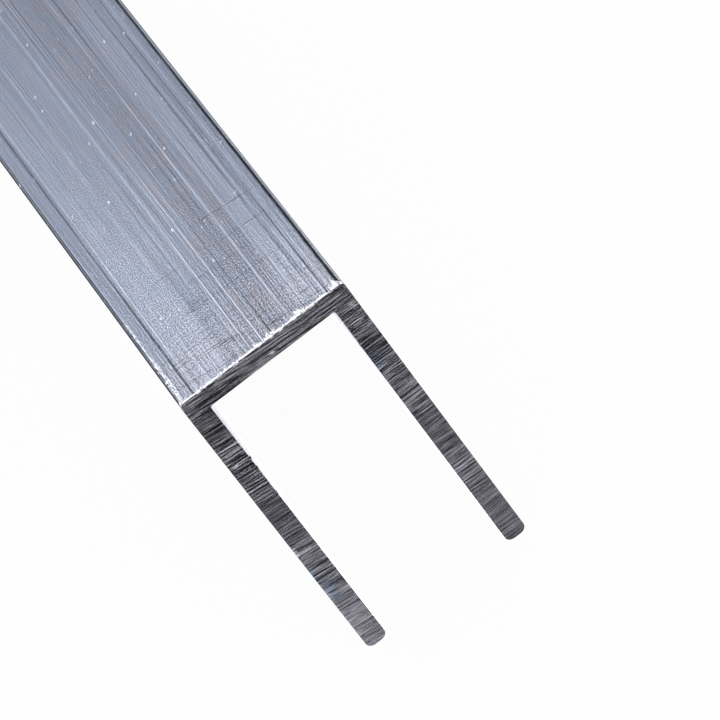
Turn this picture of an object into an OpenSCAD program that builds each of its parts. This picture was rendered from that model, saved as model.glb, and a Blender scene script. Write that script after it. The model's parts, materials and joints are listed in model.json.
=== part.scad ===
// Aluminium channel stock: one extruded length, sawn square at both ends.
// It stands on its two leg tips with the web on top. X runs along the length, Y across the web
// and Z up. The origin is under the middle of the piece, level with the leg tips.

/* [Stock] */
// Length of the cut piece
stock_length = 1000; // [100:10:3000]

/* [Section] */
// Outside width across the web
web_width = 25; // [15:0.5:60]
// Outside height, from the leg tips to the top of the web
leg_height = 50; // [15:0.5:120]
// Thickness of the web
web_wall = 3; // [1.5:0.1:6]
// Thickness of each leg
leg_wall = 3; // [1.5:0.1:6]

/* [Edges] */
// Radius of the two outside corners, where the web turns into the legs
corner_radius = 0.7; // [0.2:0.05:2]
// Radius of the two edges of each leg tip
tip_radius = 1; // [0.2:0.05:2]
// Fillet radius of the two inside corners
fillet_radius = 0.3; // [0.1:0.05:2]

/* [Hidden] */
$fn = 64;

// Most of a wall that one of its roundings may take
round_share = 0.45;
corner_r = min(corner_radius, round_share * web_wall, round_share * leg_wall);
tip_r = min(tip_radius, round_share * leg_wall);

half_w = web_width / 2;
inside_half_w = half_w - leg_wall;
inside_h = leg_height - web_wall;

// Web: a flat bar with its two upper corners rounded
module web_section() {
    translate([-half_w, inside_h]) square([web_width, web_wall - corner_r]);
    translate([corner_r - half_w, inside_h]) square([web_width - 2 * corner_r, web_wall]);
    for (side = [-1, 1])
        translate([side * (half_w - corner_r), leg_height - corner_r]) circle(r = corner_r);
}

// Right-hand leg: a flat bar with both corners of its tip rounded
module leg_section() {
    translate([inside_half_w, tip_r]) square([leg_wall, leg_height - corner_r - tip_r]);
    translate([inside_half_w + tip_r, 0]) square([leg_wall - 2 * tip_r, 2 * tip_r]);
    for (edge = [inside_half_w + tip_r, half_w - tip_r])
        translate([edge, tip_r]) circle(r = tip_r);
}

// Right-hand inside corner: what the fillet fills between the web and the leg
module fillet_section() {
    difference() {
        translate([inside_half_w - fillet_radius, inside_h - fillet_radius])
            square([fillet_radius + leg_wall / 2, fillet_radius + web_wall / 2]);
        translate([inside_half_w - fillet_radius, inside_h - fillet_radius])
            circle(r = fillet_radius);
    }
}

// The whole section, drawn in X and Y with the web up
module channel_section() {
    web_section();
    for (side = [0, 1])
        mirror([side, 0]) {
            leg_section();
            fillet_section();
        }
}

// The cut piece: the section run along X, centred on the origin
module channel() {
    color("#a6abb0")
        translate([-stock_length / 2, 0, 0])
            rotate([90, 0, 90])
                linear_extrude(height = stock_length) channel_section();
}

channel();
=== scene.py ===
"""Looks of a length of aluminium channel stock that stands on its two leg tips, with the web on top.

One closed mesh stands for the extruded piece. Its section is swept along X with the fine relief that the
die left, and both ends carry the grooves of the saw. The meshes are in metres, and the shader nodes count
in millimetres.
"""
import json
import math

import bpy
import numpy as np
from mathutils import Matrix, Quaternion, Vector, noise


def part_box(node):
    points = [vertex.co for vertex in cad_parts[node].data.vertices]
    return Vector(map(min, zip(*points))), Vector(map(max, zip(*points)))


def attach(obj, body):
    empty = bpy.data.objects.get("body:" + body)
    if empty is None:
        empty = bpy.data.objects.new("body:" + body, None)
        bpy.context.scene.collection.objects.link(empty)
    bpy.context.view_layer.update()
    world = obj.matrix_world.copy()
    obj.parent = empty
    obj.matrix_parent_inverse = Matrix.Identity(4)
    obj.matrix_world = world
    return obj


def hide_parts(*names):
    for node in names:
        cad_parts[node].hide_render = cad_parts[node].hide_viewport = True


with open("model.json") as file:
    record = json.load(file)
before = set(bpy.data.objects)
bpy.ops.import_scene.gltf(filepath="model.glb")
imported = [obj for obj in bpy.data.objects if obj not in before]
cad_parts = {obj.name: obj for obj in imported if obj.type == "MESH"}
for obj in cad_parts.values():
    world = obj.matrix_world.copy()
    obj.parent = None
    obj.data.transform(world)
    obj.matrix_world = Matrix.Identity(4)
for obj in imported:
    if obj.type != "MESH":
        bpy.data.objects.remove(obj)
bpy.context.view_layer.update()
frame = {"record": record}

MM = 0.001

# The section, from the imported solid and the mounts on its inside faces
LOW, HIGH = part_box("channel")
MOUNTS = {mount["name"]: mount["pos_m"] for mount in frame["record"]["mounts"]}
HALF_LENGTH = (HIGH.x - LOW.x) / 2
HALF_WIDTH = (HIGH.y - LOW.y) / 2
HEIGHT = HIGH.z - LOW.z
WEB_WALL = HIGH.z - MOUNTS["web_inside"][2]
LEG_WALL = HIGH.y - MOUNTS["right_leg_inside"][1]
CORNER_RADIUS = 0.7 * MM
TIP_RADIUS = 1.0 * MM
FILLET_RADIUS = 0.3 * MM

# How finely the mesh is cut
LEG_STEPS = 392
WEB_STEPS = 248
WALL_STEPS = 24
ARC_STEPS = 24
STATIONS = [0, 0.06, 0.14, 0.24, 0.38, 0.6, 2, 12, 45, 130, 300]

# Relief of the surfaces, in millimetres
DIE_RELIEF = 0.025
SAW_DEPTH = 0.09
BURR_HEIGHT = 0.02

# Tone of the web's back across its width: place in millimetres, then 0 for black to 1 for white
WEB_BANDS = [
    (-12.5, 0.50), (-11.4, 0.48), (-10.2, 0.52), (-9.2, 0.59), (-7.4, 0.60), (-5.6, 0.58), (-4.2, 0.55),
    (-2.0, 0.53), (0.0, 0.50), (2.0, 0.47), (3.4, 0.45), (5.8, 0.47), (7.4, 0.53), (8.8, 0.54),
    (9.8, 0.50), (10.6, 0.50), (11.6, 0.45), (12.1, 0.44), (12.3, 0.62), (12.5, 0.56),
]
# The few lines on the web that stand out, also at its rounded corners: place in millimetres, change of tone,
# half width
WEB_LINES = [
    (-12.4, -1.7, 0.15), (-12.1, -0.8, 0.10), (-11.9, 0.3, 0.20), (-9.6, 0.4, 0.10), (-1.3, 0.4, 0.10),
    (0.4, 0.7, 0.10), (4.8, 0.4, 0.10), (5.5, -0.3, 0.10), (6.7, 0.3, 0.10), (7.8, 0.3, 0.10),
    (10.2, -0.3, 0.15), (10.8, 0.4, 0.10), (12.0, -1.1, 0.25),
]
# Finer lines between them, drawn at random: how many, and how far from the middle they reach
FINE_LINES = 34
FINE_REACH = 11.3
# Spacing in millimetres of the lines on the other faces, and the share of its strength that each line keeps
LINE_SPACING = 0.9
LINE_STRENGTH = 0.9
# Burr along the cut: place, added width and half length of each thicker part on the web, then the width on
# the rest of the web and on the other faces, all in millimetres
BURR_PARTS = [(-12.0, 0.9, 0.7), (-0.7, 0.7, 0.8), (1.6, 0.9, 1.3), (5.8, 0.9, 1.2), (11.6, 1.1, 0.9)]
BURR_WIDTH = 0.55
LEG_BURR_WIDTH = 0.12
# Share of the burr's width at which it is highest, and its share of that height right at the cut
BURR_PEAK = 0.6
BURR_FOOT = 0.45
# Small lumps on the sawn arrises: place across and up, height and half length, in millimetres
LUMPS = [(-9.5, 36.8, 0.20, 0.45), (-9.5, 34.9, 0.10, 0.5), (-9.5, 29.8, 0.08, 0.4), (9.5, 40.4, 0.06, 0.5)]

# The front sawn face, up its legs: height in millimetres, tone of the left and right leg, then how strongly
# the marks show on each
SAWN_LEGS = [
    (0, 0.67, 0.47, 0.75, 0.55), (7, 0.66, 0.49, 0.85, 0.55), (12, 0.53, 0.57, 0.95, 0.90),
    (16, 0.50, 0.57, 0.90, 1.00), (20, 0.50, 0.39, 1.05, 0.80), (24, 0.41, 0.37, 0.70, 0.75),
    (28, 0.33, 0.42, 0.60, 1.10), (32, 0.35, 0.38, 1.10, 1.45), (36, 0.32, 0.25, 1.30, 1.15),
    (40, 0.29, 0.26, 1.65, 1.20), (44, 0.23, 0.25, 1.15, 1.75), (50, 0.23, 0.25, 1.15, 1.75),
]
# The band across its top: place in millimetres and tone
SAWN_BAND = [
    (-12.5, 0.32), (-9, 0.27), (-6, 0.29), (-2.5, 0.41), (0, 0.34), (3, 0.34), (7, 0.34), (10, 0.32),
    (12.5, 0.27),
]
# Height in millimetres at which that band takes over from the legs, the run over which it does, and how
# strongly the marks show on it
BAND_START = 45.5
BAND_BLEND = 1.5
BAND_BITE = 1.3
# Stains on it, and painted glints where its saw marks catch the light: place and half sizes, in millimetres
SAWN_STAINS = [
    (-12.2, 15.5, 0.5, 2.4), (-11.6, 12.0, 0.9, 2.8), (-12.2, 23.0, 0.5, 1.0), (10.2, 36.8, 1.0, 2.2),
]
SAWN_GLINTS = [
    (11.0, 43.6, 1.3, 0.5), (-11.2, 37.0, 1.4, 0.4), (-10.8, 35.4, 0.9, 0.5), (0.5, 47.9, 2.2, 0.40),
    (11.8, 45.8, 0.5, 1.2), (-12.25, 10.8, 0.3, 1.4), (12.2, 35.2, 0.4, 0.4), (-12.3, 20.2, 0.3, 1.2),
]

# Saw marks cross the section on a slant, and bend a little as a round blade's do
SAW_SLANT = math.radians(-5)
BLADE_RADIUS = 260.0

# Scratches across the web by the sawn end: place at the middle, slant, start, end and half width, with the
# lengths in millimetres
SCRATCHES = [
    (1.43, -0.089, -10.9, -3.0, 0.10),
    (4.75, -0.113, -8.4, -2.2, 0.10),
    (7.00, -0.080, -8.6, -3.8, 0.10),
    (13.16, -0.037, -6.5, 9.7, 0.10),
    (17.66, -0.100, -3.6, 6.6, 0.09),
    (21.62, -0.060, -6.5, -1.0, 0.10),
    (21.20, -0.078, 2.4, 11.6, 0.10),
    (26.99, -0.135, 1.2, 11.8, 0.11),
]
# Bright chipped places along the web's edges by the sawn end: across, distance, half sizes and strength
EDGE_CHIPS = [
    (-11.85, 3.5, 0.42, 5.2, 1.0), (-11.85, 8.2, 0.36, 2.6, 1.0), (-11.88, 14.0, 0.20, 9.0, 0.8),
    (11.45, 0.7, 0.7, 1.0, 1.0), (11.45, 9.0, 0.4, 14.0, 0.15),
]

# Darkest tone that metal reaches, and the power that spreads its tones evenly to the eye
DARKEST = 0.16
EYE_POWER = 2.2
# Brightest tone of each kind of metal, and the tint of its red, green and blue
MILL_GLOSS, COOL_MILL, WARM_MILL = 0.88, (0.88, 1.0, 1.18), (1.0, 0.985, 1.05)
SAWN_GLOSS, SAWN_TINT = 0.79, (1.02, 0.98, 1.01)
STAIN_GLOSS, STAIN_TINT = 0.9, (0.55, 0.90, 1.35)

# What each point of the mesh carries for the shader nodes: its distance from the cut's rim, the tone that the
# die left, the burr's width, and the tone with its painted glints, bite and stain of the sawn face
MEASURES = ("rim", "die", "burr", "saw", "bite", "stain")
NO_SHADES = (0.0, 0.0, 0.0)
# The two kinds of face, which are also the slots of their materials
SKIN, SAWN = 0, 1


def arc(centre, radius, start, end):
    """Points of an arc in the section's plane, with its angles in degrees."""
    turns = np.radians(np.linspace(start, end, ARC_STEPS + 1))
    return [(centre[0] + radius * math.cos(t), centre[1] + radius * math.sin(t)) for t in turns]


def resampled(path, steps):
    """The same path with steps + 1 points, evenly spaced."""
    path = np.array(path)
    run = np.concatenate([[0], np.cumsum(np.hypot(*np.diff(path, axis=0).T))])
    places = np.linspace(0, run[-1], steps + 1)
    return np.stack([np.interp(places, run, path[:, k]) for k in (0, 1)], 1)


def whole_side(leg_path, web_path):
    """One skin of the section, from the right leg's tip over the web to the left leg's tip."""
    leg = resampled(leg_path, LEG_STEPS)
    web = resampled(web_path, WEB_STEPS)
    return np.concatenate([leg, web[1:-1], (leg * (-1, 1))[::-1]])


def outer_skin():
    """The outside of the section: up one leg, across the web and down the other leg."""
    tip = (HALF_WIDTH - TIP_RADIUS, TIP_RADIUS)
    corner = (HALF_WIDTH - CORNER_RADIUS, HEIGHT - CORNER_RADIUS)
    leg = arc(tip, TIP_RADIUS, -90, 0) + arc(corner, CORNER_RADIUS, 0, 45)
    turn = arc(corner, CORNER_RADIUS, 45, 90)
    return whole_side(leg, turn + [(-y, z) for y, z in turn[::-1]])


def inner_skin():
    """The inside of the section, in the same order as the outside."""
    face = HALF_WIDTH - LEG_WALL
    tip = (face + TIP_RADIUS, TIP_RADIUS)
    corner = (face - FILLET_RADIUS, HEIGHT - WEB_WALL - FILLET_RADIUS)
    leg = arc(tip, TIP_RADIUS, -90, -180) + arc(corner, FILLET_RADIUS, 0, 45)
    turn = arc(corner, FILLET_RADIUS, 45, 90)
    return whole_side(leg, turn + [(-y, z) for y, z in turn[::-1]])


def wall_grid():
    """The section as a grid: a row for each step along the wall, and a column for each step through it."""
    through = np.linspace(0, 1, WALL_STEPS + 1)[None, :, None]
    return outer_skin()[:, None] * (1 - through) + inner_skin()[:, None] * through


def rim_cells(rows, columns):
    """Row and column of each outline point of the grid, counter-clockwise from inside the right tip."""
    last_row, last_column = rows - 1, columns - 1
    cells = [(0, j) for j in range(last_column, 0, -1)]
    cells += [(i, 0) for i in range(last_row)]
    cells += [(last_row, j) for j in range(last_column)]
    cells += [(i, last_column) for i in range(last_row, 0, -1)]
    return np.array(cells)


def outward(ring):
    """Outward normals of a counter-clockwise ring of points."""
    ahead = np.roll(ring, -1, axis=0) - np.roll(ring, 1, axis=0)
    normals = np.stack([ahead[:, 1], -ahead[:, 0]], 1)
    return normals / np.linalg.norm(normals, axis=1)[:, None]


def girth_of(ring):
    """Distance of each ring point round the section, in millimetres, with the closing distance last."""
    steps = np.linalg.norm(np.roll(ring, -1, axis=0) - ring, axis=1)
    return np.concatenate([[0], np.cumsum(steps)]) / MM


def wave(*place):
    """Smooth noise from -1 to 1 at a place."""
    return noise.noise(Vector(place))


def spike(distance, half_width):
    """1 at no distance, falling to 0 at the half width."""
    return max(0.0, 1 - abs(distance) / half_width)


def patch(y, z, place):
    """1 in the middle of a patch, falling to 0 at its half sizes."""
    at_y, at_z, half_y, half_z = place[:4]
    return max(0.0, 1 - math.hypot((y - at_y) / half_y, (z - at_z) / half_z))


def saw_shades(y, z, end):
    """Tone (with painted glints), bite and stain of a sawn face at a place in millimetres.

    The far end has the front one's shades, turned about.
    """
    y = y * end
    ups, *columns = zip(*SAWN_LEGS)
    side = 0 if y < 0 else 1
    in_band = min(max((z - BAND_START) / BAND_BLEND, 0.0), 1.0)
    tone = np.interp(z, ups, columns[side]) * (1 - in_band) + np.interp(y, *zip(*SAWN_BAND)) * in_band
    bite = np.interp(z, ups, columns[2 + side]) * (1 - in_band) + BAND_BITE * in_band
    # Painted glints: highlights put into the tone where the saw marks catch the light
    streaks = max(0.0, 0.3 + 1.8 * wave(z / 0.20, y / 0.8, 21 + end))
    tone += 0.80 * streaks * min(1.0, 1.6 * max(patch(y, z, p) for p in SAWN_GLINTS))
    broken = 0.6 + 0.8 * wave(z / 0.6, y / 0.5, 31 + end)
    stain = min(1.0, 2.5 * max(patch(y, z, p) for p in SAWN_STAINS)) * min(max(broken, 0.0), 1.0)
    return tone, bite, stain


def on_web(z, nz):
    """Whether a point of the outline is on the web's back or its rounded corners.

    Takes the point's height in millimetres and the upward part of its normal.
    """
    return nz > 0.15 and z > (HEIGHT - CORNER_RADIUS) / MM - 0.01


def random_lines(total):
    """Die lines for the other faces: seeded places round the section, changes of tone and half widths."""
    random = np.random.default_rng(11)
    spaced = np.arange(0, total, LINE_SPACING)
    places = spaced + random.uniform(-0.4, 0.4, len(spaced))
    return [(p, random.uniform(-0.16, 0.2), random.uniform(0.1, 0.2)) for p in places]


def fine_web_lines():
    """The finer die lines on the web: seeded places across it, changes of tone and half widths."""
    random = np.random.default_rng(5)
    places = random.uniform(-FINE_REACH, FINE_REACH, FINE_LINES)
    return [(p, random.uniform(-0.28, 0.26), random.uniform(0.08, 0.12)) for p in places]


def die_tones(ring, normals, girth):
    """Tone at each point round the section: what the die left, and the lines along the web's rounded corners.
    """
    on_back = WEB_LINES + fine_web_lines()
    others = random_lines(girth[-1])
    tones = []
    for (y, z), (_, nz), g in zip(ring / MM, normals, girth):
        back = on_web(z, nz)
        lines = on_back if back else others
        place = y if back else g
        tone = np.interp(y, *zip(*WEB_BANDS)) if back else 0.5 + 0.10 * wave(g / 2.6, 3.1, 0.0)
        tones.append(tone + LINE_STRENGTH * sum(lift * spike(place - at, wide) for at, lift, wide in lines))
    return np.array(tones)


def burr_widths(ring, normals, girth):
    """Width in millimetres of the burr that the saw pushed over each point of the arris."""
    widths = []
    for (y, z), (_, nz), g in zip(ring / MM, normals, girth):
        back = on_web(z, nz)
        width = BURR_WIDTH if back else LEG_BURR_WIDTH
        if back:
            width += sum(extra * spike(y - at, wide) for at, extra, wide in BURR_PARTS)
        ragged = 0.75 + 0.6 * wave(g / 1.1, 2.0, 0.0) + 1.0 * wave(g / 0.33, 5.0, 0.0)
        widths.append(width * min(max(ragged, 0.05), 1.4))
    return np.array(widths)


def saw_depth(y, z, end):
    """How far the saw's grooves sink the sawn face, in metres, at a point of the section in metres."""
    y, z = y / MM, z / MM
    across = z * math.cos(SAW_SLANT) - y * math.sin(SAW_SLANT) - y * y / (2 * BLADE_RADIUS)
    along = y * math.cos(SAW_SLANT) + z * math.sin(SAW_SLANT)
    groove = wave(across / 0.55, along / 30, end) + 0.6 * wave(across / 0.27, along / 9, 5 + end)
    chatter = wave(across / 6, along / 40, 9 + end)
    return SAW_DEPTH * MM * min(max(0.45 + 0.4 * groove + 0.2 * chatter, 0), 1)


def burr_lift(reach):
    """Height of the burr in millimetres at a share of its width: it peaks a little in from the cut."""
    if reach >= 1:
        return 0.0
    if reach < BURR_PEAK:
        return BURR_HEIGHT * (BURR_FOOT + (1 - BURR_FOOT) * reach / BURR_PEAK)
    return BURR_HEIGHT * (1 - reach) / (1 - BURR_PEAK)


def lump_lift(y, z):
    """Height in millimetres of the lumps on the arris at a point in millimetres."""
    return max(tall * spike(math.hypot(y - at_y, z - at_z), half) for at_y, at_z, tall, half in LUMPS)


class ChannelMesh:
    """Collects the vertices, faces and surface measures of the whole piece.

    Each face corner also notes a place on its face: on the skin the distance round the section in millimetres
    and x in metres, and on a sawn face y in millimetres and z in metres.
    """

    def __init__(self):
        self.grid = wall_grid()
        self.rows, self.columns = self.grid.shape[:2]
        self.cells = rim_cells(self.rows, self.columns)
        self.ring = self.grid[self.cells[:, 0], self.cells[:, 1]]
        self.normals = outward(self.ring)
        self.girth = girth_of(self.ring)
        self.die = die_tones(self.ring, self.normals, self.girth)
        self.burr = burr_widths(self.ring, self.normals, self.girth)
        self.sink = DIE_RELIEF * np.clip(1.0 - self.die, 0, 1)
        self.lumps = [lump_lift(y, z) for y, z in self.ring / MM]
        self.points, self.measures = [], []
        self.faces, self.slots, self.corners = [], [], []

    def add_point(self, x, y, z, rim, die=0.5, burr=0.0, shades=NO_SHADES):
        self.points.append((x, y, z))
        self.measures.append((rim, die, burr, *shades))
        return len(self.points) - 1

    def add_ring(self, distance, end):
        """One ring of the skin, at a distance in millimetres from the end whose sign is given."""
        made = []
        for k, ((y, z), (ny, nz)) in enumerate(zip(self.ring, self.normals)):
            lift = burr_lift(distance / max(self.burr[k], 0.01)) + self.lumps[k] * spike(distance, 0.5)
            inset = (BURR_HEIGHT + self.sink[k] - lift) * MM
            inward = saw_depth(y, z, end) if distance == 0 else distance * MM + SAW_DEPTH * MM
            x = end * (HALF_LENGTH - inward)
            shades = saw_shades(y / MM, z / MM, end) if distance == 0 else NO_SHADES
            place = (x, y - ny * inset, z - nz * inset)
            made.append(self.add_point(*place, distance, self.die[k], self.burr[k], shades))
        return made

    def add_skin(self, first, second):
        """The faces between two rings, the second further along X."""
        count = len(first)
        for k in range(count):
            n = (k + 1) % count
            self.faces.append((first[k], first[n], second[n], second[k]))
            self.slots.append(SKIN)
            low, high = self.girth[k], self.girth[k + 1]
            start, stop = self.points[first[k]][0], self.points[second[k]][0]
            self.corners += [(low, start), (high, start), (high, stop), (low, stop)]

    def add_sawn_face(self, ring, end):
        """The sawn face that closes the ring at one end."""
        at = np.full((self.rows, self.columns), -1)
        at[self.cells[:, 0], self.cells[:, 1]] = ring
        through = LEG_WALL / MM / (self.columns - 1)
        for i in range(1, self.rows - 1):
            for j in range(1, self.columns - 1):
                y, z = self.grid[i, j]
                rim = through * min(j, self.columns - 1 - j)
                x = end * (HALF_LENGTH - saw_depth(y, z, end))
                at[i, j] = self.add_point(x, y, z, rim, shades=saw_shades(y / MM, z / MM, end))
        for i in range(self.rows - 1):
            for j in range(self.columns - 1):
                face = [at[i, j], at[i + 1, j], at[i + 1, j + 1], at[i, j + 1]]
                face = face if end > 0 else face[::-1]
                self.faces.append(tuple(int(v) for v in face))
                self.slots.append(SAWN)
                self.corners += [(self.points[v][1] / MM, self.points[v][2]) for v in face]

    def build(self):
        """Adds every ring and both sawn faces."""
        rings = [self.add_ring(d, -1) for d in STATIONS]
        rings += [self.add_ring(d, 1) for d in reversed(STATIONS)]
        for first, second in zip(rings, rings[1:]):
            self.add_skin(first, second)
        self.add_sawn_face(rings[0], -1)
        self.add_sawn_face(rings[-1], 1)


# Where each face goes on the map that the finish is baked through: the skin unrolled below, and the sawn
# faces lying above it. The scale is the share of the map that a millimetre of a sawn face takes
BAKE_MAP = "OFBake"
SKIN_SHARE = 0.76
MAP_MARGIN = 0.006
SAWN_SCALE = 0.0087
SAWN_MIDDLE = SKIN_SHARE + 0.11


def bake_place(slot, first, second, x, girth_total):
    """Place on the bake map of a face corner, from its place on the face."""
    if slot == SKIN:
        along = (second + HALF_LENGTH) / (2 * HALF_LENGTH)
        row = MAP_MARGIN + first / girth_total * (SKIN_SHARE - 2 * MAP_MARGIN)
        return (MAP_MARGIN + along * (1 - 2 * MAP_MARGIN), row)
    column = MAP_MARGIN + (0.5 if x > 0 else 0)
    return (column + second / MM * SAWN_SCALE, SAWN_MIDDLE + first * SAWN_SCALE)


def channel_piece():
    """The whole piece as one closed mesh, with its measures for the shader nodes and its bake map."""
    made = ChannelMesh()
    made.build()
    mesh = bpy.data.meshes.new("channel_stock")
    mesh.from_pydata(made.points, [], made.faces)
    mesh.polygons.foreach_set("material_index", made.slots)
    mesh.polygons.foreach_set("use_smooth", [True] * len(made.faces))
    for name, values in zip(MEASURES, zip(*made.measures)):
        mesh.attributes.new(name, "FLOAT", "POINT").data.foreach_set("value", values)
    loop_slots = np.repeat(made.slots, 4)
    girths = [c[0] if s == SKIN else 0.0 for c, s in zip(made.corners, loop_slots)]
    mesh.attributes.new("girth", "FLOAT", "CORNER").data.foreach_set("value", girths)
    xs = [made.points[v][0] for face in made.faces for v in face]
    total = made.girth[-1]
    places = [bake_place(s, c[0], c[1], x, total) for s, c, x in zip(loop_slots, made.corners, xs)]
    mesh.uv_layers.new(name=BAKE_MAP).data.foreach_set("uv", np.array(places).ravel())
    mark_arrises(mesh)
    piece = bpy.data.objects.new("channel_stock", mesh)
    bpy.context.scene.collection.objects.link(piece)
    return piece


def mark_arrises(mesh):
    """Keeps the shading sharp where the skin meets a sawn face."""
    met = {}
    for face in mesh.polygons:
        for key in face.edge_keys:
            met.setdefault(key, set()).add(face.material_index)
    sharp = [len(met[tuple(sorted(edge.vertices))]) > 1 for edge in mesh.edges]
    mesh.attributes.new("sharp_edge", "BOOLEAN", "EDGE").data.foreach_set("value", sharp)
    mesh.update()


# Shader nodes


class Maker:
    """Adds nodes to one tree. A value may be a number, a colour or another node's output."""

    def __init__(self, tree):
        self.tree = tree

    def put(self, socket, value):
        if isinstance(value, bpy.types.NodeSocket):
            self.tree.links.new(value, socket)
        else:
            socket.default_value = value

    def add(self, kind, inputs=None, **settings):
        made = self.tree.nodes.new(kind)
        for name, value in settings.items():
            setattr(made, name, value)
        for name, value in (inputs or {}).items():
            self.put(made.inputs[name], value)
        return made

    def math(self, operation, first, second=0.0, clamp=False):
        return self.add(
            "ShaderNodeMath", {0: first, 1: second}, operation=operation, use_clamp=clamp
        ).outputs[0]

    def plus(self, first, second, clamp=False):
        return self.math("ADD", first, second, clamp)

    def minus(self, first, second):
        return self.math("SUBTRACT", first, second)

    def times(self, first, second):
        return self.math("MULTIPLY", first, second)

    def over(self, first, second):
        return self.math("DIVIDE", first, second)

    def larger(self, first, second):
        return self.math("MAXIMUM", first, second)

    def ranged(self, value, low, high, to_low=0.0, to_high=1.0, smooth=False):
        kind = "SMOOTHSTEP" if smooth else "LINEAR"
        named = {"Value": value, "From Min": low, "From Max": high, "To Min": to_low, "To Max": to_high}
        return self.add("ShaderNodeMapRange", named, interpolation_type=kind, clamp=True).outputs[0]

    def measure(self, name):
        """One of the mesh's own measures, by its name."""
        return self.add("ShaderNodeAttribute", attribute_name=name).outputs["Fac"]

    def place(self, kind):
        """The X, Y and Z of one of the texture coordinates."""
        where = self.add("ShaderNodeTexCoord").outputs[kind]
        return self.add("ShaderNodeSeparateXYZ", {0: where}).outputs

    def vector(self, x, y, z=0.0):
        return self.add("ShaderNodeCombineXYZ", {0: x, 1: y, 2: z}).outputs[0]

    def noise(self, vector, scale=1.0, detail=2.0, roughness=0.5):
        named = {"Vector": vector, "Scale": scale, "Detail": detail, "Roughness": roughness}
        return self.add("ShaderNodeTexNoise", named).outputs["Fac"]

    def mix(self, factor, first, second):
        made = self.add("ShaderNodeMix", data_type="RGBA")
        self.put(made.inputs[0], factor)
        self.put(made.inputs[6], first)
        self.put(made.inputs[7], second)
        return made.outputs[2]

    def ramp(self, value, stops):
        made = self.add("ShaderNodeValToRGB", {"Fac": value})
        elements = made.color_ramp.elements
        for element, (place, colour) in zip(elements, (stops[0], stops[-1])):
            element.position, element.color = place, colour
        for place, colour in stops[1:-1]:
            elements.new(place).color = colour
        return made.outputs["Color"]

    def group(self, tree, **inputs):
        made = self.add("ShaderNodeGroup", node_tree=tree)
        for name, value in inputs.items():
            self.put(made.inputs[name.replace("_", " ")], value)
        return made.outputs


def new_group(name, inputs, outputs):
    """An empty node group with those sockets: its maker, what comes in, and its output node."""
    tree = bpy.data.node_groups.new(name, "ShaderNodeTree")
    for label, kind in inputs:
        tree.interface.new_socket(label, in_out="INPUT", socket_type="NodeSocket" + kind)
    for label in outputs:
        tree.interface.new_socket(label, in_out="OUTPUT", socket_type="NodeSocketFloat")
    maker = Maker(tree)
    arrived = maker.add("NodeGroupInput").outputs
    return maker, arrived, maker.add("NodeGroupOutput").inputs


def drawn_lines_group():
    """Lines that run one way: die lines along the stock, or a saw's marks across its end."""
    inputs = ["Across", "Along", "Spacing", "Run", "Seed"]
    m, came, out = new_group("Drawn Lines", [(name, "Float") for name in inputs], ["Soft", "Sharp"])
    across = m.over(came["Across"], came["Spacing"])
    along = m.over(came["Along"], came["Run"])
    soft = m.noise(m.vector(across, along, came["Seed"]), 1.0, 3.0, 0.62)
    m.put(out["Soft"], m.ranged(soft, 0.3, 0.7))
    finer = m.times(across, 1.7)
    apart = m.plus(came["Seed"], 17.0)
    sharp = m.noise(m.vector(finer, m.times(along, 2.0), apart), 1.0, 1.0, 0.5)
    m.put(out["Sharp"], m.ranged(sharp, 0.56, 0.74))
    return m.tree


def grain_group():
    """The finest grain of the metal."""
    m, came, out = new_group("Grain", [("Place", "Vector"), ("Size", "Float")], ["Fine"])
    scale = m.over(1.0, came["Size"])
    m.put(out["Fine"], m.ranged(m.noise(came["Place"], scale, 2.0, 0.7), 0.3, 0.7))
    return m.tree


def specks_group():
    """Scattered round specks, such as pick-up from the die or bright chips."""
    inputs = [("Place", "Vector"), ("Cell", "Float"), ("Size", "Float"), ("Share", "Float")]
    m, came, out = new_group("Specks", inputs, ["Mask"])
    cells = m.add("ShaderNodeTexVoronoi", {"Vector": came["Place"]}, voronoi_dimensions="2D", feature="F1")
    m.put(cells.inputs["Scale"], m.over(1.0, came["Cell"]))
    reach = m.times(cells.outputs["Distance"], came["Cell"])
    chance = m.add("ShaderNodeSeparateColor", {"Color": cells.outputs["Color"]}).outputs
    chosen = m.math("LESS_THAN", chance[0], came["Share"])
    size = m.times(came["Size"], m.ranged(chance[1], 0.0, 1.0, 0.4, 1.2))
    inside = m.ranged(m.over(reach, size), 0.5, 1.0, 1.0, 0.0, smooth=True)
    m.put(out["Mask"], m.times(inside, chosen))
    return m.tree


def cut_edge_group():
    """The ragged bright line along a sawn arris: the burr's bright metal, with its painted highlight."""
    inputs = [("Rim", "Float"), ("Place", "Vector"), ("Width", "Float")]
    m, came, out = new_group("Cut Edge", inputs, ["Mask"])
    ragged = m.ranged(m.noise(came["Place"], 3.0, 2.0, 0.6), 0.36, 0.66, 0.5, 1.25)
    reach = m.over(came["Rim"], m.times(came["Width"], ragged))
    m.put(out["Mask"], m.ranged(reach, 0.75, 1.05, 1.0, 0.0, smooth=True))
    return m.tree


def patch_group():
    """A soft patch with a broken outline at one place of a face."""
    inputs = ["First", "Second", "At First", "At Second", "Half First", "Half Second"]
    m, came, out = new_group("Patch", [(name, "Float") for name in inputs], ["Mask"])
    first = m.over(m.minus(came["First"], came["At First"]), came["Half First"])
    second = m.over(m.minus(came["Second"], came["At Second"]), came["Half Second"])
    reach = m.math("SQRT", m.plus(m.times(first, first), m.times(second, second)))
    broken = m.noise(m.vector(came["First"], came["Second"]), 1.6, 3.0, 0.65)
    edge = m.plus(reach, m.ranged(broken, 0.3, 0.7, -0.6, 0.6))
    m.put(out["Mask"], m.ranged(edge, 0.5, 1.1, 1.0, 0.0))
    return m.tree


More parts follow.
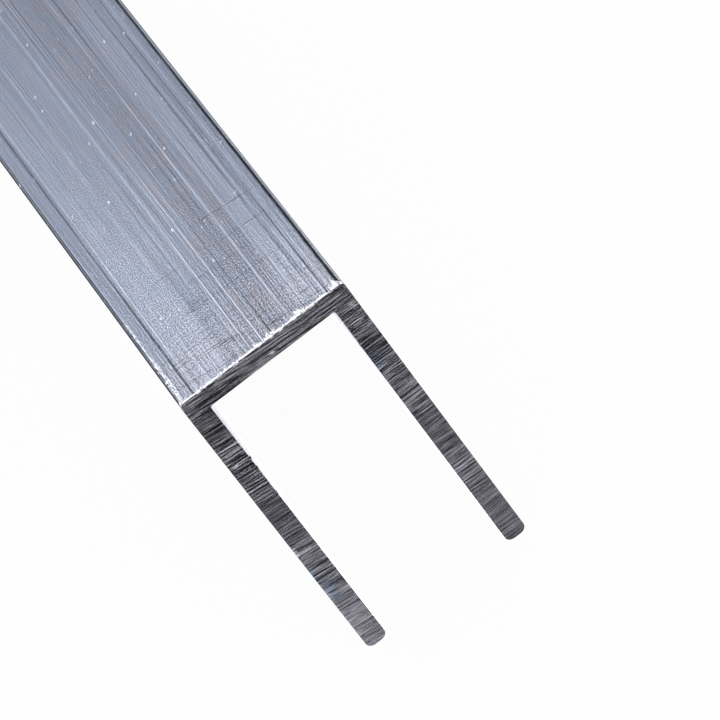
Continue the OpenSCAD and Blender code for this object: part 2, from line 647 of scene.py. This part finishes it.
def stroke_group():
    """One scratch: a thin line between two places across the web, on a slant."""
    inputs = ["Across", "Distance", "Place", "Slant", "Start", "End", "Width"]
    m, came, out = new_group("Stroke", [(name, "Float") for name in inputs], ["Mask"])
    line = m.plus(came["Place"], m.times(came["Across"], came["Slant"]))
    off = m.math("ABSOLUTE", m.minus(came["Distance"], line))
    thin = m.ranged(m.over(off, came["Width"]), 0.3, 1.0, 1.0, 0.0, smooth=True)
    before = m.ranged(m.minus(came["Across"], came["Start"]), 0.0, 1.5)
    after = m.ranged(m.minus(came["End"], came["Across"]), 0.0, 1.5)
    m.put(out["Mask"], m.times(thin, m.times(before, after)))
    return m.tree


def grey(value, tint=(1.0, 1.0, 1.0)):
    """A tinted grey as a colour with alpha."""
    return (*[value * channel for channel in tint], 1.0)


def metal_colour(m, tone, gloss, tint):
    """Colour of bare metal whose tone, from 0 to 1, is spread evenly to the eye."""
    stops = []
    for place in (0.0, 0.2, 0.4, 0.6, 0.8, 1.0):
        seen = (DARKEST + (1 - DARKEST) * place) ** EYE_POWER * gloss
        whiter = [1 + (channel - 1) * (1 - 0.6 * place ** 3) for channel in tint]
        stops.append((place, grey(min(seen, 1.0), whiter)))
    return m.ramp(tone, stops)


def mill_finish(groups, web_middle):
    """Bare extruded metal: bands and lines along the stock, specks, and scratches by the sawn end. It also
    has painted light that is lighter by the sawn end and darker along the stock, and a painted highlight on
    the burr.
    """
    material = bpy.data.materials.new("mill_finish")
    material.use_nodes = True
    m = Maker(material.node_tree)
    shader = material.node_tree.nodes["Principled BSDF"]
    girth = m.measure("girth")
    rim = m.measure("rim")
    die = m.measure("die")
    burr_width = m.measure("burr")
    along = m.times(m.place("Object")["X"], 1 / MM)
    distance = m.minus(HALF_LENGTH / MM, along)
    across = m.minus(web_middle, girth)
    flat = m.vector(girth, along)

    middle = m.group(groups["lines"], Across=girth, Along=along, Spacing=0.70, Run=160.0, Seed=2.0)
    fine = m.group(groups["lines"], Across=girth, Along=along, Spacing=0.22, Run=60.0, Seed=3.0)
    thin = m.group(groups["lines"], Across=girth, Along=along, Spacing=0.33, Run=90.0, Seed=6.0)
    grain = m.group(groups["grain"], Place=m.vector(girth, m.times(along, 0.60)), Size=0.15)
    fade = m.ranged(rim, 8.0, 60.0, 1.0, 0.5)
    breaks = m.noise(m.vector(m.times(girth, 1.5), m.times(along, 0.25)), 1.0, 3.0, 0.6)
    fade = m.times(fade, m.ranged(breaks, 0.35, 0.65, 0.65, 1.2))
    tone = m.plus(0.53, m.times(m.minus(die, 0.5), fade))
    near = m.ranged(rim, 4.0, 45.0, 0.9, 0.32)
    detail = m.times(m.minus(fine["Soft"], 0.5), 0.36)
    detail = m.plus(detail, m.times(fine["Sharp"], 0.28))
    detail = m.minus(detail, m.times(middle["Sharp"], 0.22))
    detail = m.minus(detail, m.times(thin["Sharp"], 0.30))
    detail = m.plus(detail, 0.03)
    tone = m.plus(tone, m.times(detail, near))
    grained = m.times(m.minus(grain["Fine"], 0.5), m.ranged(rim, 4.0, 50.0, 1.30, 0.46))
    tone = m.plus(tone, grained)

    slanted = m.plus(distance, m.times(across, 0.09))
    wavy = m.plus(slanted, m.times(m.noise(flat, 0.5, 1.0), 0.35))
    hatch = m.group(groups["lines"], Across=wavy, Along=across, Spacing=0.50, Run=12.0, Seed=4.0)
    patches = m.ranged(m.noise(flat, 0.16, 1.0), 0.42, 0.62, 0.25, 0.8)
    worn = m.group(
        groups["patch"], First=across, Second=distance,
        At_First=-5.5, At_Second=5.5, Half_First=7.5, Half_Second=7.0,
    )
    patches = m.times(patches, m.ranged(rim, 2.0, 20.0, 1.0, 0.12))
    patches = m.larger(patches, worn["Mask"])
    hatched = m.times(hatch["Sharp"], patches)
    tone = m.minus(tone, m.times(hatched, 0.62))
    # Painted light: the skin is made lighter by the sawn end and darker further along the stock
    by_the_cut = m.ranged(rim, 0.0, 18.0, 1.0, 0.0, smooth=True)
    tone = m.plus(tone, m.times(by_the_cut, 0.05))
    tone = m.minus(tone, m.ranged(rim, 20.0, 110.0, 0.0, 0.07))

    scratched = 0.0
    for place, slant, start, end, width in SCRATCHES:
        stroke = m.group(
            groups["stroke"], Across=across, Distance=distance,
            Place=place, Slant=slant, Start=start, End=end, Width=width,
        )
        scratched = m.larger(scratched, stroke["Mask"])
    worn_away = m.ranged(m.noise(flat, 1.1, 2.0, 0.6), 0.36, 0.54, 0.25, 1.0)
    broken = m.times(scratched, worn_away)
    tone = m.minus(tone, m.times(broken, 0.45))

    cool = metal_colour(m, tone, MILL_GLOSS, COOL_MILL)
    warm = metal_colour(m, tone, MILL_GLOSS, WARM_MILL)
    off_middle = m.math("ABSOLUTE", m.minus(across, 3.6))
    clouded = m.ranged(m.noise(m.vector(girth, m.times(along, 0.25)), 0.8, 3.0, 0.6), 0.4, 0.6)
    warmth = m.times(m.ranged(off_middle, 2.0, 5.0, 0.9, 0.45), clouded)
    warmth = m.plus(warmth, m.times(by_the_cut, 0.45), clamp=True)
    colour = m.mix(warmth, cool, warm)

    bent = m.times(m.noise(flat, 3.4, 2.0), 0.75)
    uneven = m.vector(m.plus(girth, bent), m.plus(m.times(along, 0.6), bent))
    specks = m.group(groups["specks"], Place=uneven, Cell=1.2, Size=0.13, Share=0.16)
    large = m.group(groups["specks"], Place=uneven, Cell=4.0, Size=0.20, Share=0.24)
    chips = m.larger(specks["Mask"], large["Mask"])
    chips = m.times(chips, m.ranged(rim, 10.0, 90.0, 0.85, 0.4))
    crumbs = m.ranged(m.noise(flat, 2.4, 3.0, 0.6), 0.44, 0.54)
    for at_across, at_distance, half_across, half_distance, strength in EDGE_CHIPS:
        chipped = m.group(
            groups["patch"], First=across, Second=distance,
            At_First=at_across, At_Second=at_distance, Half_First=half_across, Half_Second=half_distance,
        )
        chipped = m.times(m.times(chipped["Mask"], crumbs), strength)
        chips = m.larger(chips, chipped)
    colour = m.mix(chips, colour, grey(1.0))
    # The burr: bright fresh-cut metal, with a painted highlight that whitens it where it catches the light
    burr = m.group(groups["edge"], Rim=rim, Place=flat, Width=burr_width)
    spots = m.ranged(m.noise(flat, 1.3, 1.0), 0.63, 0.71)
    bright = m.mix(spots, grey(1.0, (1.0, 0.98, 0.92)), grey(0.68, (1.10, 0.96, 0.83)))
    lumpy = m.ranged(m.noise(flat, 2.6, 3.0, 0.65), 0.42, 0.54, 0.20, 1.0)
    colour = m.mix(m.times(burr["Mask"], lumpy), colour, bright)

    rough = m.ranged(fine["Soft"], 0.0, 1.0, 0.30, 0.42)
    rough = m.minus(rough, m.times(burr["Mask"], 0.12))
    height = m.plus(m.times(fine["Soft"], 0.5), m.times(middle["Soft"], 0.8))
    height = m.plus(height, m.times(grain["Fine"], 0.15))
    height = m.minus(height, m.times(m.larger(broken, hatched), 0.5))
    bump = m.add("ShaderNodeBump", {"Height": height, "Strength": 0.35, "Distance": 0.02 * MM})
    m.put(shader.inputs["Base Color"], colour)
    m.put(shader.inputs["Roughness"], rough)
    m.put(shader.inputs["Normal"], bump.outputs[0])
    shader.inputs["Metallic"].default_value = 1.0
    return material


def sawn_face(groups):
    """Metal as the saw left it: dark, grooved across on a slant, with bright chips and a ragged rim. Its tone
    also carries painted glints, a painted highlight on the burr and a painted shadow under it.
    """
    material = bpy.data.materials.new("sawn_face")
    material.use_nodes = True
    m = Maker(material.node_tree)
    shader = material.node_tree.nodes["Principled BSDF"]
    rim = m.measure("rim")
    shade = m.measure("saw")
    bite = m.measure("bite")
    stain = m.measure("stain")
    place = m.place("Object")
    y = m.times(place["Y"], 1 / MM)
    z = m.times(place["Z"], 1 / MM)
    flat = m.vector(y, z)
    rise = m.times(z, math.cos(SAW_SLANT))
    bow = m.times(m.times(y, y), 1 / (2 * BLADE_RADIUS))
    across = m.minus(m.minus(rise, m.times(y, math.sin(SAW_SLANT))), bow)
    across = m.plus(across, m.times(m.noise(flat, 0.5, 1.0), 0.09))
    along = m.plus(m.times(y, math.cos(SAW_SLANT)), m.times(z, math.sin(SAW_SLANT)))

    wide = m.group(groups["lines"], Across=across, Along=along, Spacing=2.6, Run=60.0, Seed=11.0)
    marks = m.group(groups["lines"], Across=across, Along=along, Spacing=0.38, Run=16.0, Seed=12.0)
    fine = m.group(groups["lines"], Across=across, Along=along, Spacing=0.19, Run=4.0, Seed=13.0)
    grain = m.group(groups["grain"], Place=flat, Size=0.17)
    detail = m.times(m.minus(marks["Soft"], 0.5), 0.55)
    detail = m.plus(detail, m.times(m.minus(fine["Soft"], 0.5), 0.70))
    detail = m.minus(detail, m.times(marks["Sharp"], 0.50))
    detail = m.plus(detail, m.times(fine["Sharp"], 0.34))
    detail = m.plus(detail, m.times(m.minus(grain["Fine"], 0.5), 0.85))
    tone = m.times(detail, bite)
    tone = m.plus(tone, m.times(m.minus(wide["Soft"], 0.5), 0.12))
    # The sawn face's tone from the mesh, painted glints included
    tone = m.plus(tone, shade)
    chips = m.group(groups["specks"], Place=flat, Cell=1.6, Size=0.14, Share=0.12)
    tone = m.plus(tone, m.times(chips["Mask"], 0.35))
    # The burr's rim: bright cut metal, made brighter still by a painted highlight
    burr = m.group(groups["edge"], Rim=rim, Place=flat, Width=0.16)
    tone = m.plus(tone, m.times(burr["Mask"], 0.10))
    # Painted shadow: dark gaps along the sawn face's top rim, under the burr
    gaps = m.ranged(m.noise(flat, 0.7, 2.0), 0.46, 0.56)
    shadow_under_burr = m.times(m.ranged(rim, 0.05, 0.25, 1.0, 0.0), gaps)
    shadow_under_burr = m.times(shadow_under_burr, m.ranged(z, 49.0, 49.3))
    tone = m.minus(tone, m.times(shadow_under_burr, 0.30))
    colour = metal_colour(m, tone, SAWN_GLOSS, SAWN_TINT)
    blue = metal_colour(m, tone, STAIN_GLOSS, STAIN_TINT)
    colour = m.mix(m.times(stain, 0.5), colour, blue)
    # Burr crumbs along the top rim: bright metal, painted white as a highlight where they catch the light
    over = m.group(groups["edge"], Rim=rim, Place=flat, Width=0.30)
    crumbs = m.ranged(m.noise(flat, 1.5, 3.0, 0.65), 0.50, 0.56)
    crumbs = m.times(m.times(over["Mask"], crumbs), m.ranged(z, 48.9, 49.2))
    colour = m.mix(crumbs, colour, grey(0.95, (1.02, 1.0, 0.97)))

    rough = m.ranged(marks["Soft"], 0.0, 1.0, 0.42, 0.60)
    height = m.plus(marks["Soft"], m.times(fine["Soft"], 0.6))
    bump = m.add("ShaderNodeBump", {"Height": height, "Strength": 0.5, "Distance": 0.04 * MM})
    m.put(shader.inputs["Base Color"], colour)
    m.put(shader.inputs["Roughness"], rough)
    m.put(shader.inputs["Normal"], bump.outputs[0])
    shader.inputs["Metallic"].default_value = 1.0
    return material


# The studio

FLOOR_HALF = 60.0
# Albedo of the paper, and the share of what the camera sees of it that is the paper's own glow
PAPER = 0.9
FLOOR_GLOW = 0.97
# Grey of the room low down and overhead, and its tint
ROOM_LOW, ROOM_HIGH = 0.55, 0.70
ROOM_TINT = (0.96, 0.98, 1.10)
BACK_TINT = (0.93, 0.98, 1.12)
STRIP_RADIANCE = 2.2


def floor():
    """A wide plain pale floor that reads nearly white, with a faint shadow, and stays dull in reflections."""
    mesh = bpy.data.meshes.new("floor")
    corners = [(x * FLOOR_HALF, y * FLOOR_HALF, 0) for x, y in ((-1, -1), (1, -1), (1, 1), (-1, 1))]
    mesh.from_pydata(corners, [], [(0, 1, 2, 3)])
    made = bpy.data.objects.new("floor", mesh)
    bpy.context.scene.collection.objects.link(made)
    material = bpy.data.materials.new("pale_floor")
    material.use_nodes = True
    m = Maker(material.node_tree)
    tree = material.node_tree
    tree.nodes.remove(tree.nodes["Principled BSDF"])
    seen = m.add("ShaderNodeLightPath").outputs["Is Camera Ray"]
    paper = m.add("ShaderNodeBsdfDiffuse", {"Color": grey(PAPER)})
    glow = m.add("ShaderNodeEmission", {"Color": grey(1.0), "Strength": 1.0})
    lit = m.add("ShaderNodeMixShader", {0: m.times(seen, FLOOR_GLOW)})
    m.put(lit.inputs[1], paper.outputs[0])
    m.put(lit.inputs[2], glow.outputs[0])
    m.put(tree.nodes["Material Output"].inputs["Surface"], lit.outputs[0])
    mesh.materials.append(material)


def surroundings():
    """A pale room: white to the camera past the floor, and a soft cool grey that the metal mirrors."""
    world = bpy.data.worlds.new("pale_room")
    world.use_nodes = True
    m = Maker(world.node_tree)
    back = world.node_tree.nodes["Background"]
    up = m.ranged(m.place("Generated")["Z"], -0.1, 0.9)
    room = m.ramp(up, [(0.0, grey(ROOM_LOW, ROOM_TINT)), (1.0, grey(ROOM_HIGH, ROOM_TINT))])
    seen = m.add("ShaderNodeLightPath").outputs["Is Camera Ray"]
    m.put(back.inputs["Color"], m.mix(seen, room, grey(1.0)))
    bpy.context.scene.world = world


def softbox(name, centre, aim, size, power):
    """A rectangular soft light that the camera doesn't see."""
    light = bpy.data.lights.new(name, "AREA")
    light.shape = "RECTANGLE"
    light.size, light.size_y = size
    light.energy = power
    made = bpy.data.objects.new(name, light)
    made.location = centre
    made.rotation_mode = "QUATERNION"
    made.rotation_quaternion = (Vector(aim) - Vector(centre)).to_track_quat("-Z", "Y")
    made.visible_camera = False
    bpy.context.scene.collection.objects.link(made)
    return made


def lights():
    """Soft studio lights round the stock, and a lit strip of table under it that whitens the inside."""
    near_end = (HALF_LENGTH, 0.0, HEIGHT)
    back = softbox("back_light", (HALF_LENGTH - 2.6, -0.4, 2.4), near_end, (1.6, 1.6), 7.5)
    back.data.color = BACK_TINT
    softbox("left_light", (HALF_LENGTH - 2.2, -2.2, 0.9), near_end, (1.6, 1.2), 8.0)
    softbox("right_light", (HALF_LENGTH - 2.2, 2.2, 0.9), near_end, (1.6, 1.2), 8.0)
    softbox("front_light", (HALF_LENGTH + 2.2, 0.8, 1.6), near_end, (1.2, 1.0), 6.0)
    inside = 2 * (HALF_WIDTH - LEG_WALL)
    power = STRIP_RADIANCE * math.pi * inside * 2 * HALF_LENGTH
    strip = softbox("table_strip", (0, 0, 0.2 * MM), (0, 0, 1), (2 * HALF_LENGTH, inside), power)
    strip.rotation_quaternion = Quaternion((1, 0, 0), math.pi)


# The camera stands off the sawn end, a little to one side, and is rolled so that the stock runs to a corner
CAMERA_SIDE = math.radians(-0.557)
CAMERA_RISE = math.radians(39.82)
CAMERA_ROLL = math.radians(-37.0)
CAMERA_RANGE = 0.8691
CAMERA_LENS = 362.6
AIM_PAST_END = 0.013756
AIM_SIDE = 0.008293


def camera():
    """The main camera, close to the sawn end and looking down the web."""
    aim = Vector((HALF_LENGTH + AIM_PAST_END, AIM_SIDE, HEIGHT))
    level = math.cos(CAMERA_RISE)
    back = Vector((level * math.cos(CAMERA_SIDE), level * math.sin(CAMERA_SIDE), math.sin(CAMERA_RISE)))
    data = bpy.data.cameras.new("camera")
    data.lens = CAMERA_LENS
    data.sensor_width = 36.0
    data.clip_start, data.clip_end = 0.05, 200.0
    made = bpy.data.objects.new("camera", data)
    made.location = aim + back * CAMERA_RANGE
    made.rotation_mode = "QUATERNION"
    made.rotation_quaternion = (-back).to_track_quat("-Z", "Y") @ Quaternion((0, 0, 1), CAMERA_ROLL)
    bpy.context.scene.collection.objects.link(made)
    bpy.context.scene.camera = made


def web_middle_girth():
    """Distance round the outline in millimetres from its start, inside the right tip, to the web's middle."""
    tip_flat = LEG_WALL - 2 * TIP_RADIUS
    leg = math.pi / 2 * TIP_RADIUS + HEIGHT - TIP_RADIUS - CORNER_RADIUS + math.pi / 2 * CORNER_RADIUS
    return (tip_flat + leg + HALF_WIDTH - CORNER_RADIUS) / MM


camera()
groups = {
    "lines": drawn_lines_group(),
    "grain": grain_group(),
    "specks": specks_group(),
    "edge": cut_edge_group(),
    "stroke": stroke_group(),
    "patch": patch_group(),
}
channel = channel_piece()
channel.data.materials.append(mill_finish(groups, web_middle_girth()))
channel.data.materials.append(sawn_face(groups))
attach(channel, "root")
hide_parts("channel")
floor()
surroundings()
lights()
bpy.context.scene.view_settings.view_transform = "Standard"
bpy.context.scene.cycles.filter_width = 1.1
